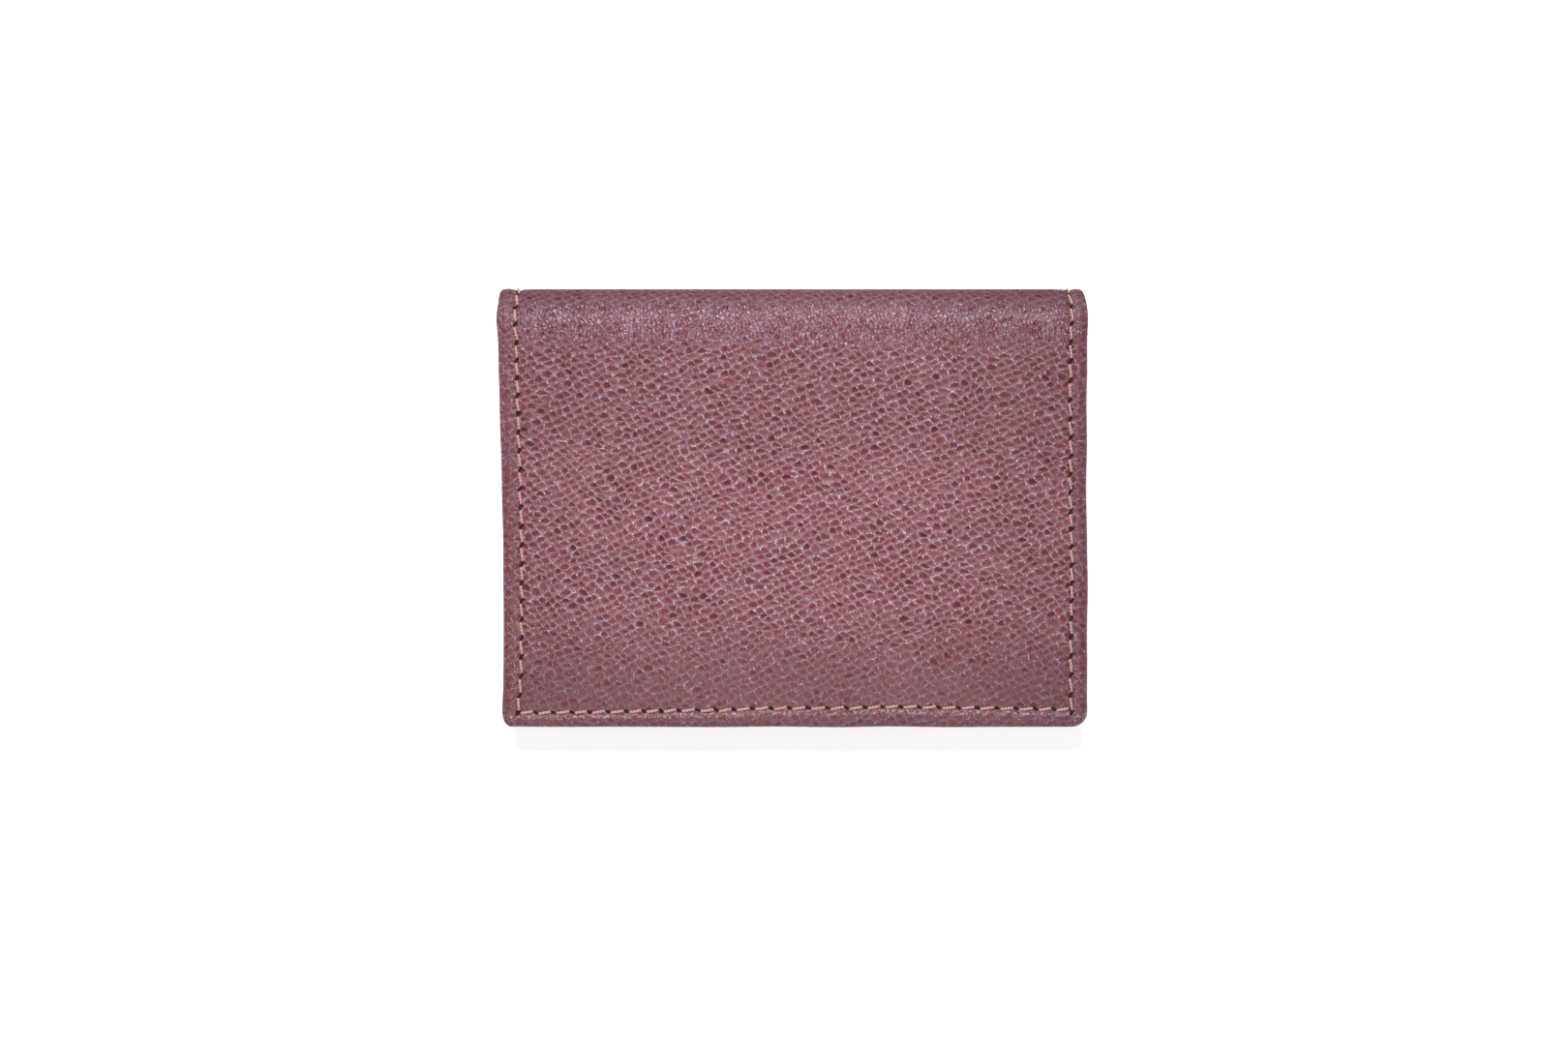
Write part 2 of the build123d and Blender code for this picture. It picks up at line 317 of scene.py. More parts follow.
BACK = Cover("back", BACK_LENGTH, 1)
FRONT = Cover("front", FRONT_LENGTH, 2)


# ---- meshes

def show(name, data):
    """A new object in the scene."""
    made = bpy.data.objects.new(name, data)
    bpy.context.scene.collection.objects.link(made)
    return made


def new_piece(name, points, faces, material, attributes):
    """A smooth-shaded mesh object with named per-vertex vectors for its material."""
    mesh = bpy.data.meshes.new(name)
    mesh.from_pydata(np.asarray(points).tolist(), [], np.asarray(faces).tolist())
    for key, values in attributes.items():
        layer = mesh.attributes.new(key, "FLOAT_VECTOR", "POINT")
        layer.data.foreach_set("vector", np.asarray(values, np.float32).ravel())
    mesh.validate()
    mesh.shade_smooth()
    mesh.materials.append(material)
    piece = show(name, mesh)
    return piece


def columns(*values):
    """Values side by side in rows, with single numbers repeated."""
    return np.stack(np.broadcast_arrays(*values), -1)


def unit(vectors):
    return vectors / np.linalg.norm(vectors, axis=-1)[..., None]


def travelled(points, axis=0):
    """How far along its line each point is. The lines run along that axis."""
    steps = np.diff(points, axis=axis, prepend=np.take(points, [0], axis))
    return np.cumsum(np.linalg.norm(steps, axis=-1), axis)


def looks(place, calm=0, stretch=0, raised=0, wear_and_painted_light=0, painted_shade=0, turned=0):
    """What a leather or a cloth reads at each vertex: its place in the grain, masks and marks.

    calm fades the grain, stretch pulls it flat and raised is the share of it that is in the mesh.
    The first mark is rubbed wear, with painted shade and painted glints laid over it; the second is
    painted shade; the third dulls the fold's turn and paints it darker red as painted shade.
    """
    still = np.zeros(len(place))
    return {
        "leather": place,
        "masks": columns(still + calm, stretch, raised),
        "marks": columns(still + wear_and_painted_light, painted_shade, turned),
    }


def grid_faces(index):
    """Quads between neighbouring rows and columns of vertex numbers."""
    corners = index[:-1, :-1], index[:-1, 1:], index[1:, 1:], index[1:, :-1]
    return columns(*corners).reshape(-1, 4)


def tube_faces(rings, corners):
    """Quads of a tube, from its rings of as many vertices."""
    index = np.arange(rings * corners).reshape(rings, corners)
    return grid_faces(np.concatenate([index, index[:, :1]], 1))


def border(index):
    """The vertex numbers once round the border of a grid."""
    return np.concatenate([index[0, :-1], index[:-1, -1], index[-1, :0:-1], index[:0:-1, 0]])


def band(inner, outer, closed=True):
    """Quads between two rings of as many vertices."""
    quads = columns(inner, outer, np.roll(outer, -1), np.roll(inner, -1))
    return quads if closed else quads[:-1]


class Sheet:
    """A sheet of leather or cloth with a round edge, laid out flat.

    top is a grid of (x, s) places, rows from the free edge to the fold, already inset by the rim.
    A closed sheet has a second face like the first. An open one ends at its last row, as a cover
    does at mid-fold, and only turns its edge in.
    """

    def __init__(self, top, rim, thickness, steps=5, closed=True, turned_in=()):
        rows, across = top.shape[:2]
        index = np.arange(rows * across).reshape(rows, across)
        flat = top.reshape(-1, 2)
        ring = border(index) if closed else np.concatenate([index[::-1, 0], index[0, 1:], index[1:, -1]])
        edge = flat[ring]
        along = np.roll(edge, -1, 0) - np.roll(edge, 1, 0)
        if not closed:
            along[0], along[-1] = edge[1] - edge[0], edge[-1] - edge[-2]
        outward = unit(columns(along[:, 1], -along[:, 0]))
        self.parts = [(flat, np.zeros(len(flat)), flat)]
        for step in range(1, steps if closed else steps + 1):
            angle = math.pi * step / steps
            depth = thickness / 2 * (1 - math.cos(angle))
            self.add(edge + outward * rim * math.sin(angle), depth, edge + outward * rim * angle)
        for margin in turned_in:
            inner = columns(
                np.clip(edge[:, 0], edge[:, 0].min() + margin, edge[:, 0].max() - margin),
                np.maximum(edge[:, 1], edge[:, 1].min() + margin),
            )
            self.add(inner, thickness, edge + outward * (rim * math.pi + margin))
        faces = [grid_faces(index)]
        count, last = len(flat), ring
        for _ in self.parts[1:]:
            now = np.arange(count, count + len(ring))
            faces.append(band(last, now, closed))
            count, last = count + len(ring), now
        if closed:
            self.add(flat, thickness, flat + [0, 200 * MM])
            faces += [band(last, ring + count), grid_faces(index + count)[:, ::-1]]
        self.places, self.depths, self.leather = (np.concatenate(part) for part in zip(*self.parts))
        self.faces = np.concatenate(faces)
        self.edge_share = np.ones(len(self.places))
        self.edge_share[:len(flat)] = 0

    def add(self, places, depth, leather):
        self.parts.append((places, np.full(len(places), depth), leather))


def spaced(low, high, step, dense=()):
    """Grid lines from low to high, about a step apart, and closer around the dense places."""
    lines = np.linspace(low, high, max(2, round((high - low) / step) + 1))
    for middle, reach, near in dense:
        lines = lines[np.abs(lines - middle) > reach + near / 2]
        closer = np.linspace(middle - reach, middle + reach, round(2 * reach / near) + 1)
        lines = np.concatenate([lines, closer])
    lines = np.unique(np.clip(lines, low, high))
    keep = np.concatenate([[True], np.diff(lines) > 0.02 * MM])
    return lines[keep]


def round_corner(x, s, corner, size):
    """Pulls the grid's square corner in to an elliptical one. size is its reach along x and s."""
    side = math.copysign(1, corner[0])
    p = np.clip(1 - side * (corner[0] - x) / size[0], 0, 1)
    q = np.clip(1 - (s - corner[1]) / size[1], 0, 1)
    px, qs = p * np.sqrt(1 - q * q / 2), q * np.sqrt(1 - p * p / 2)
    return x + side * (px - p) * size[0], s - (qs - q) * size[1]


# ---- node trees

class Tree:
    """Short calls that add linked nodes to a material's or a modifier's tree."""

    def __init__(self, tree):
        self.tree = tree

    def add(self, kind, inputs=None, **settings):
        node = self.tree.nodes.new(kind)
        for key, value in settings.items():
            setattr(node, key, value)
        for key, value in (inputs or {}).items():
            self.put(value, node.inputs[key])
        return node

    def put(self, value, socket):
        if isinstance(value, bpy.types.NodeSocket):
            self.tree.links.new(value, socket)
        else:
            socket.default_value = value

    def math(self, operation, *values):
        return self.add("ShaderNodeMath", dict(enumerate(values)), operation=operation).outputs[0]

    def times(self, *values):
        """The product of the values."""
        return functools.reduce(lambda a, b: self.math("MULTIPLY", a, b), values)

    def total(self, base, *terms):
        """The base and a share of each (value, share)."""
        for value, share in terms:
            base = self.math("MULTIPLY_ADD", value, share, base)
        return base

    def vector(self, operation, *values):
        node = self.add("ShaderNodeVectorMath", dict(enumerate(values)), operation=operation)
        return node.outputs["Value" if operation in ("DOT_PRODUCT", "LENGTH") else "Vector"]

    def scaled(self, vector, x, y, z=1.0):
        return self.vector("MULTIPLY", vector, (x, y, z))

    def join(self, x, y, z=0.0):
        return self.add("ShaderNodeCombineXYZ", {"X": x, "Y": y, "Z": z}).outputs[0]

    def split(self, vector):
        return self.add("ShaderNodeSeparateXYZ", {"Vector": vector}).outputs

    def step(self, value, low, high, first=0.0, last=1.0):
        inputs = {"Value": value, "From Min": low, "From Max": high, "To Min": first, "To Max": last}
        return self.add("ShaderNodeMapRange", inputs, interpolation_type="SMOOTHSTEP").outputs["Result"]

    def fall(self, value, low, high):
        """1 below low, 0 above high, and a soft step between."""
        return self.step(value, low, high, 1.0, 0.0)

    def mix(self, factor, a, b):
        return self.add("ShaderNodeMix", {0: factor, 6: a, 7: b}, data_type="RGBA").outputs[2]

    def noise(self, vector, scale, detail=2.0, roughness=0.5, output="Fac"):
        inputs = {"Vector": vector, "Scale": scale, "Detail": detail, "Roughness": roughness}
        return self.add("ShaderNodeTexNoise", inputs).outputs[output]

    def swing(self, vector, *settings):
        """Noise from about -0.5 to 0.5."""
        return self.math("SUBTRACT", self.noise(vector, *settings), 0.5)

    def cells(self, vector, feature, scale=1.0, randomness=1.0):
        inputs = {"Vector": vector, "Scale": scale, "Randomness": randomness}
        return self.add("ShaderNodeTexVoronoi", inputs, feature=feature, voronoi_dimensions="2D").outputs

    def attribute(self, name):
        return self.add("ShaderNodeAttribute", attribute_name=name).outputs["Vector"]

    def coat(self, shader, colour, high, strength):
        """Gives a shader its colour, and shades a height in millimetres."""
        self.put(colour, shader.inputs["Base Color"])
        inputs = {"Height": high, "Strength": strength, "Distance": MM}
        self.put(self.add("ShaderNodeBump", inputs).outputs[0], shader.inputs["Normal"])


def polar(length, degrees):
    return length * np.array([math.cos(math.radians(degrees)), math.sin(math.radians(degrees))])


# The lattice that the grain's cells stand on: its two steps in millimetres.
GRAIN_A = polar(1.44, 25)
GRAIN_B = polar(1.40, -48)
GRAIN_RANDOMNESS = 0.44
# How the lattice is bent: (noise scale, reach along x and y in millimetres).
GRAIN_BENDS = (0.16, (3.0, 2.2, 0.0)), (0.9, (0.55, 0.45, 0.0))


def grain(tree, place, calm, stretch, sharp=True):
    """Scale-like leather grain over places in millimetres.

    Each cell has a ridge along its border, brightest at its top, and a round hollow inside it,
    and some hollows have a dark pit. calm fades them, and stretch gives way to the fine plates
    of the stretched fold. Without sharp, the finest detail is left out. Returns the height in
    millimetres and the shares of its features.
    """
    bent = place
    for scale, reach in GRAIN_BENDS:
        drift = tree.vector("SUBTRACT", tree.noise(place, scale, 1.0, 0.5, "Color"), (0.5, 0.5, 0.5))
        bent = tree.vector("ADD", bent, tree.vector("MULTIPLY", drift, reach))
    rows = np.linalg.inv(np.column_stack([GRAIN_A, GRAIN_B]))
    lattice = tree.join(*(tree.vector("DOT_PRODUCT", bent, (*row, 0.0)) for row in rows))
    edge = tree.cells(lattice, "DISTANCE_TO_EDGE", randomness=GRAIN_RANDOMNESS)["Distance"]
    cell = tree.cells(lattice, "F1", randomness=GRAIN_RANDOMNESS)
    chance = tree.split(cell["Color"])
    local = tree.vector("SUBTRACT", lattice, cell["Position"])
    sideways, rise = (
        tree.vector("DOT_PRODUCT", local, (GRAIN_A[axis], GRAIN_B[axis], 0.0)) for axis in (0, 1))
    comb = tree.swing(tree.scaled(bent, 4.2, 1.3), 1.0, 2.0, 0.65)
    if sharp:
        edge = tree.total(edge, (comb, 0.55))
        rise = tree.total(rise, (comb, 0.5))
    bold = tree.times(tree.math("SUBTRACT", 1.0, calm), tree.total(1.0, (stretch, -0.8)))
    arch = tree.total(0.25, (tree.step(rise, -0.3, 0.12), 0.75))
    strength = tree.step(tree.noise(bent, 0.9, 2.0, 0.6), 0.38, 0.62, 0.15, 1.1)
    ridge = tree.times(tree.fall(edge, 0.0, 0.26), arch, strength)
    if sharp:
        ridge = tree.times(ridge, tree.step(comb, -0.16, 0.10, 0.25, 1.2))
    ridge = tree.times(ridge, tree.total(0.35, (bold, 0.65)))
    out = tree.vector("LENGTH", tree.join(tree.times(sideways, 0.8), rise))
    inside = tree.times(tree.step(edge, 0.0, 0.20), tree.step(rise, -0.75, -0.25))
    deep = tree.total(0.4, (chance[1], 0.7))
    hollow = tree.times(inside, tree.fall(out, 0.30, 0.75), deep, tree.total(0.2, (bold, 0.8)))
    core = tree.times(inside, tree.fall(out, 0.22, 0.50))
    pit = tree.times(core, tree.step(chance[0], 0.76, 0.98), tree.total(1.0, (calm, -0.45)))
    plate = tree.cells(tree.scaled(bent, 1.5, 0.85), "DISTANCE_TO_EDGE", 1.0, 0.95)["Distance"]
    plate = tree.times(tree.step(plate, 0.02, 0.28), stretch)
    high = tree.total(tree.times(ridge, 0.06), (hollow, -0.07), (pit, -0.10), (plate, 0.10))
    if sharp:
        high = tree.total(high, (comb, 0.10))
    return high, ridge, hollow, pit, plate, comb


def raise_grain(piece, amount):
    """Moves a piece's surface by the same grain that its material shows, and keeps the result."""
    tree = bpy.data.node_groups.new("grain relief", "GeometryNodeTree")
    tree.interface.new_socket("Geometry", in_out="INPUT", socket_type="NodeSocketGeometry")
    tree.interface.new_socket("Geometry", in_out="OUTPUT", socket_type="NodeSocketGeometry")
    nodes = Tree(tree)
    start = nodes.add("NodeGroupInput").outputs[0]

    place, masks = (
        nodes.add("GeometryNodeInputNamedAttribute", {"Name": name}, data_type="FLOAT_VECTOR")
        for name in ("leather", "masks"))
    calm, stretch, raised = nodes.split(masks.outputs["Attribute"])
    high = grain(nodes, place.outputs["Attribute"], calm, stretch, sharp=False)[0]
    high = nodes.times(high, nodes.times(raised, amount * MM))
    normal = nodes.add("GeometryNodeInputNormal").outputs["Normal"]
    offset = nodes.add("ShaderNodeVectorMath", {0: normal, "Scale": high}, operation="SCALE")
    moved = nodes.add("GeometryNodeSetPosition", {"Geometry": start, "Offset": offset.outputs[0]})
    end = nodes.add("NodeGroupOutput")
    tree.links.new(moved.outputs[0], end.inputs[0])
    piece.modifiers.new("grain", "NODES").node_group = tree
    bpy.context.view_layer.update()
    shown = piece.evaluated_get(bpy.context.evaluated_depsgraph_get())
    mesh = bpy.data.meshes.new_from_object(shown)
    piece.modifiers.clear()
    piece.data = mesh


# ---- materials

def srgb(red, green, blue):
    """A shader colour from its usual 0 to 255 values."""
    def linear(value):
        value /= 255
        return value / 12.92 if value <= 0.04045 else ((value + 0.055) / 1.055) ** 2.4
    return linear(red), linear(green), linear(blue), 1.0


def new_material(name, **settings):
    """A material, its node tree and its shader. Settings are shader inputs with _ for a space."""
    material = bpy.data.materials.new(name)
    material.use_nodes = True
    shader = material.node_tree.nodes["Principled BSDF"]
    for key, value in settings.items():
        shader.inputs[key.replace("_", " ")].default_value = value
    return material, Tree(material.node_tree), shader


def hole_mask(tree, seam, length, ragged):
    """1 inside the slanted needle holes of a seam, from its (stitches along, mm inwards)."""
    along, inwards, _ = tree.split(seam)
    phase = tree.times(tree.math("SUBTRACT", along, tree.math("ROUND", along)), PITCH / MM)
    cos, sin = math.cos(HOLE_LEAN), math.sin(HOLE_LEAN)
    ahead = tree.math("ADD", tree.times(phase, cos / length), tree.times(inwards, -sin / length))
    across = tree.math("ADD", tree.times(phase, sin / HOLE_WIDTH), tree.times(inwards, cos / HOLE_WIDTH))
    far = tree.vector("LENGTH", tree.join(ahead, across))
    return tree.fall(tree.total(far, (ragged, 0.9)), 0.75, 1.1)


def pucker_mask(tree, seam):
    """Where the thread has pulled the leather into small folds, just outside a seam."""
    inwards = tree.split(seam)[1]
    return tree.times(tree.step(inwards, -1.5, -0.9), tree.fall(inwards, -0.6, -0.25))


# Tones of the cover leather, from its pits to the tops of its ridges, where painted glints push it
# towards the palest.
LEATHER_TONES = (
    (0.00, (62, 12, 22)),
    (0.16, (84, 26, 36)),
    (0.32, (116, 44, 50)),
    (0.50, (131, 75, 84)),
    (0.68, (147, 106, 119)),
    (0.84, (178, 151, 168)),
    (1.00, (220, 206, 222)),
)
# Painted highlight with some scuffing on the puckers beside the seams, and painted shade for the depth
# of the needle holes.
PUCKER_SCUFF_AND_HIGHLIGHT, HOLE_SHADE = srgb(206, 176, 184), srgb(34, 15, 13)
# What the colour is multiplied by, and how much less that is where shade is painted on the leather.
FULL_LIGHT, PAINTED_SHADE_DARKENING = (0.925, 0.93, 0.945), (0.20, 0.235, 0.23)


def colour_ramp(tree, tone, stops):
    ramp = tree.add("ShaderNodeValToRGB", {"Fac": tone})
    made = ramp.color_ramp.elements
    made[0].position, made[0].color = stops[0][0], srgb(*stops[0][1])
    made[1].position, made[1].color = stops[-1][0], srgb(*stops[-1][1])
    for position, colour in stops[1:-1]:
        made.new(position).color = srgb(*colour)
    return ramp.outputs["Color"]


def leather(name, holes=False, shade=0.0):
    """Grained burgundy leather: mauve where it is rubbed, red in its hollows, dark in its pits, with
    painted glints, sheen and shade over it.
    """
    material, tree, shader = new_material(name, Specular_IOR_Level=0.42)
    place = tree.attribute("leather")
    calm, stretch, _ = tree.split(tree.attribute("masks"))
    wear_and_painted_light, painted_shade, turned = tree.split(tree.attribute("marks"))
    high, ridge, hollow, pit, plate, comb = grain(tree, place, calm, stretch)
    cloud = tree.swing(place, 0.07, 3.0, 0.55)
    patch = tree.swing(place, 0.5, 3.0, 0.6)
    speck = tree.swing(place, 3.3, 1.0, 0.6)
    mottle = tree.swing(place, 1.1, 3.0, 0.65)
    # Painted glints: spark on the ridges and the rubbed margins, gleam on the fold's plates.
    spark = tree.step(tree.noise(tree.scaled(place, 4.6, 3.2), 1.0, 1.0, 0.5), 0.53, 0.62)
    gleam = tree.step(tree.noise(tree.scaled(place, 3.1, 1.9), 1.0, 2.0, 0.6), 0.50, 0.66)
    glint = tree.total(tree.times(spark, ridge), (tree.times(gleam, plate), 0.46))
    groove = tree.math("SUBTRACT", stretch, plate)
    tone = tree.total(
        0.56 - shade,
        # The ridges are partly lighter leather and partly painted highlight, strongest at each cell's
        # top, towards the light; glint and the spark on the margins are painted glints.
        (ridge, 0.20), (glint, 0.86), (tree.times(spark, wear_and_painted_light), 0.12), (hollow, -0.30), (pit, -0.15),
        (groove, -0.19), (comb, 0.66), (speck, 0.45), (patch, 0.18), (cloud, 0.12),
        (tree.times(mottle, wear_and_painted_light), 0.75),
    )
    colour = colour_ramp(tree, tone, LEATHER_TONES)
    # Painted sheen: a lilac haze over the fold's highlight band, standing in for the gloss of the
    # stretched leather.
    painted_fold_sheen = tree.times(stretch, tree.step(tree.math("ADD", patch, speck), -0.15, 0.25))
    for share, stain in (
        (tree.step(cloud, -0.02, 0.2, 0.0, 0.14), (150, 86, 84)),
        # Rubbed margins drawn darker and redder: partly real wear, partly painted shade where the edges
        # curve away.
        (tree.times(wear_and_painted_light, tree.step(patch, -0.08, 0.2), 0.62), (138, 72, 70)),
        # Painted shade: the fold's turn is drawn darker red.
        (tree.times(turned, 0.45), (100, 50, 58)),
        (tree.times(painted_fold_sheen, 0.5), (162, 134, 153)),
    ):
        colour = tree.mix(share, colour, srgb(*stain))
    # Painted shade: the colour is multiplied down by the second mark, from Cover.shade.
    painted_darkening = tree.vector("MULTIPLY", tree.join(painted_shade, painted_shade, painted_shade), PAINTED_SHADE_DARKENING)
    colour = tree.vector("MULTIPLY", colour, tree.vector("SUBTRACT", FULL_LIGHT, painted_darkening))
    rough = tree.total(0.40, (ridge, -0.08), (stretch, -0.14), (pit, 0.35), (turned, 0.45), (speck, 0.3))
    high = tree.total(high, (speck, 0.10))
    if holes:
        seams = [tree.attribute(key) for key in ("side_seam", "foot_seam")]
        pucker = tree.math("MAXIMUM", tree.times(pucker_mask(tree, seams[0]), 0.4),
                           pucker_mask(tree, seams[1]))
        # Painted highlight, with some scuffing, on the small folds just outside the seams.
        crease = tree.times(tree.step(tree.noise(place, 1.9, 2.0, 0.6), 0.50, 0.62), pucker)
        colour = tree.mix(tree.times(crease, 0.5), colour, PUCKER_SCUFF_AND_HIGHLIGHT)
        # Painted shade: the needle holes are drawn near black for their depth.
        hole = tree.math("MAXIMUM", *(hole_mask(tree, seam, length, speck)
                                      for seam, length in zip(seams, HOLE_LENGTHS)))
        colour = tree.mix(hole, colour, HOLE_SHADE)
        rough = tree.math("MAXIMUM", rough, tree.times(hole, 0.9))
        high = tree.total(high, (crease, 0.05), (hole, -0.25))
    tree.put(rough, shader.inputs["Roughness"])
    tree.coat(shader, colour, high, 0.8)
    return material


RIB, YARN = 0.55, 0.28  # from one to the next, in millimetres


def cloth(name):
    """Fine ribbed lining cloth."""
    material, tree, shader = new_material(name, Roughness=0.85, Sheen_Weight=0.25)
    place = tree.attribute("leather")
    x, y, _ = tree.split(place)
    rib = tree.math("SINE", tree.times(y, math.tau / RIB))
    yarn = tree.math("SINE", tree.times(x, math.tau / YARN))
    weave = tree.total(rib, (tree.times(yarn, rib), 0.35))
    tone = tree.total(0.28, (weave, 0.16), (tree.noise(place, 1.2, 3.0, 0.6), 0.45))
    colour = tree.mix(tone, srgb(62, 26, 33), srgb(112, 62, 70))
    tree.coat(shader, colour, tree.times(weave, 0.05), 0.8)
    return material


def thread_material(name):
    """Twisted polyester thread, paler where it catches the light."""
    material, tree, shader = new_material(name, Roughness=0.5, Sheen_Weight=0.3)
    along, turn, _ = tree.split(tree.attribute("thread"))
    fibre = tree.noise(tree.join(tree.times(along, 3.0), tree.times(turn, 6.0)), 1.0, 2.0)
    colour = tree.mix(tree.step(fibre, 0.3, 0.7), srgb(166, 110, 102), srgb(230, 187, 178))
    tree.coat(shader, colour, tree.times(fibre, 0.06), 0.7)
    return material


def grey_board(name):
    """Grey fibre board, seen only where the case is cut open."""
    material, tree, shader = new_material(name, Roughness=0.9)
    fleck = tree.noise(tree.add("ShaderNodeTexCoord").outputs["Object"], 900.0, 3.0, 0.7)
    colour = tree.mix(fleck, srgb(112, 104, 94), srgb(172, 163, 148))
    tree.coat(shader, colour, tree.times(fleck, 0.05), 0.6)
    return material


COVER_LEATHER = leather("cover leather", holes=True)
POCKET_LEATHER = leather("pocket leather", shade=0.05)
GUSSET_LEATHER = leather("gusset leather", shade=0.12)
LINING_CLOTH = cloth("lining cloth")
THREAD_FIBRE = thread_material("thread")
BOARD = grey_board("stiffener board")


# ---- cover leather

def cover_leather(cover):
    """The cover's leather with its half of the fold, its edges turned in over the board."""
    rim = COVER / 2
    inner_x = HALF_WIDTH - rim
    seams = [(side * (HALF_WIDTH - inset), 0.6 * MM, 0.15 * MM)
             for side, inset in ((-1, LEFT_INSET), (1, RIGHT_INSET))]
    edges = [(side * inner_x, 0.4 * MM, 0.2 * MM) for side in (-1, 1)]
    x_lines = spaced(-inner_x, inner_x, STEP, seams + edges)
    s_lines = spaced(rim, cover.end, STEP, [(cover.end, 0.3 * MM, 0.06 * MM), (rim, 0.4 * MM, 0.2 * MM)])
    x, s = np.meshgrid(x_lines, s_lines)
    for side, reach in ((-1, (1.4 * MM, 2.6 * MM)), (1, (2.6 * MM, 2.6 * MM))):
        size = tuple(r - rim + 0.3 * MM for r in reach)
        x, s = round_corner(x, s, (side * inner_x, rim), size)
    sheet = Sheet(columns(x, s), rim, COVER, steps=7, closed=False, turned_in=(0.6 * MM, 2.6 * MM))
    x, s = sheet.places.T
    outer = 1 - sheet.depths / COVER
    depth = sheet.depths - cover.relief(x, s) * outer
    side_along, side_in = cover.side_seam(x, s)
    foot_along, foot_in = cover.foot_seam(x, s)
    calm = np.clip(0.75 * (1 - smooth(s, 5 * MM, 22 * MM)) + 0.35 * sheet.edge_share, 0, 1)
    stretch = smooth(s, cover.length - 6 * MM, cover.length)
    stretch = stretch * (1 - 0.85 * smooth(s, cover.length + 3 * MM, cover.length + 6 * MM))
    stretch = stretch * (0.35 + 0.65 * smooth(side_in, -0.8 * MM, 0.8 * MM))
    near = np.minimum(np.abs(side_in), np.abs(foot_in))
    outside = -np.minimum(side_in, foot_in)
    # The margins outside the seams: rubbed wear, with painted shade and painted glints laid over it in
    # the material.
    wear_and_painted_light = 0.5 * smooth(outside, 0.3 * MM, 1.2 * MM) + 0.5 * smooth(outside, 1.2 * MM, 3.0 * MM)
    calm = np.maximum(calm, 0.65 * smooth(outside, 0.2 * MM, 1.0 * MM))
    raised = outer * smooth(cover.end - s, 0, 0.6 * MM) * (0.35 + 0.65 * smooth(near, 0, 0.9 * MM))
    attributes = looks(cover.texture(*sheet.leather.T), calm, stretch, raised, wear_and_painted_light,
                       cover.shade(x, s), cover.turned(s))
    attributes["side_seam"] = columns(side_along, side_in / MM, 0)
    attributes["foot_seam"] = columns(foot_along, foot_in / MM, 0)
    faces = sheet.faces if cover.front else sheet.faces[:, ::-1]
    piece = new_piece(f"{cover.name}_cover", cover.place(*cover.warp(x, s), depth), faces,
                      COVER_LEATHER, attributes)
    raise_grain(piece, 0.8)
    cover.bend(piece)
    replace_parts(piece, f"{cover.name}_cover_leather")
    return piece


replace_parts(cover_leather(FRONT), "fold_leather")
cover_leather(BACK)


# ---- thread

TWIST = 1.15 * MM  # length of one turn of the thread
PLIES, CORNERS = 2, 6  # of the thread, and of a ply's section
PLY_OFFSET, PLY_RADIUS = 0.5, 0.56  # in radii of the thread
STITCH_RISE = 0.42 * MM  # of a stitch's middle over its ends, which dive into the needle holes
STITCH_GAP, WALL_GAP = 0.13, 0.12  # from a needle hole to the end of a stitch, in stitches
SHARES = np.linspace(0, 1, 15)  # of the way along a stitch
INNER_SUNK, WALL_SUNK = 0.03 * MM, 0.08 * MM  # of the middle line of stitches into their leather


def strand(centre, side, up, radius):
    """Tubes of a twisted thread along a centreline: points, faces and (along, round) places."""
    count = len(centre)
    along = travelled(centre)
    ends = np.minimum(1, np.minimum(along, along[-1] - along) / radius + 0.25)
    round_it = math.tau * np.arange(CORNERS) / CORNERS
    ring = np.cos(round_it)[:, None] * side[:, None] + np.sin(round_it)[:, None] * up[:, None]
    points, faces, marks = [], [], []
    for ply in range(PLIES):
        turn = math.tau * (along / TWIST + ply / PLIES)
        offset = np.cos(turn)[:, None] * side + np.sin(turn)[:, None] * up
        core = centre + PLY_OFFSET * radius * offset
        tube = core[:, None] + PLY_RADIUS * radius * ends[:, None, None] * ring
        points.append(tube.reshape(-1, 3))
        faces.append(ply * count * CORNERS + tube_faces(count, CORNERS)[:, ::-1])
        around_ply = np.tile(round_it, count) + np.repeat(turn, CORNERS)
        marks.append(columns(np.repeat(along / MM, CORNERS), around_ply, 0))
    return np.concatenate(points), np.concatenate(faces), np.concatenate(marks)


def join_threads(name, stitches):
    """One piece from many stitches."""
    points, faces, marks = zip(*stitches)
    starts = np.cumsum([0] + [len(part) for part in points[:-1]])
    faces = [part + start for part, start in zip(faces, starts)]
    return new_piece(name, np.concatenate(points), np.concatenate(faces), THREAD_FIBRE,
                     {"thread": np.concatenate(marks)})


def lying_thread(surface, above, thickness=THREAD):
    """One stitch, from its row-frame points on the leather and the way that is outwards there.

    The stitch rises out of one needle hole, lies on the leather and dives into the next.
    """
    ahead = unit(np.gradient(surface, axis=0))
    side = unit(np.cross(ahead, above))
    out = np.cross(side, ahead)
    arch = np.sin(math.pi * SHARES) ** 0.45
    centre = surface + out * ((arch - 0.5) * STITCH_RISE)[:, None]
    return strand(centre, side, out, thickness / 2)


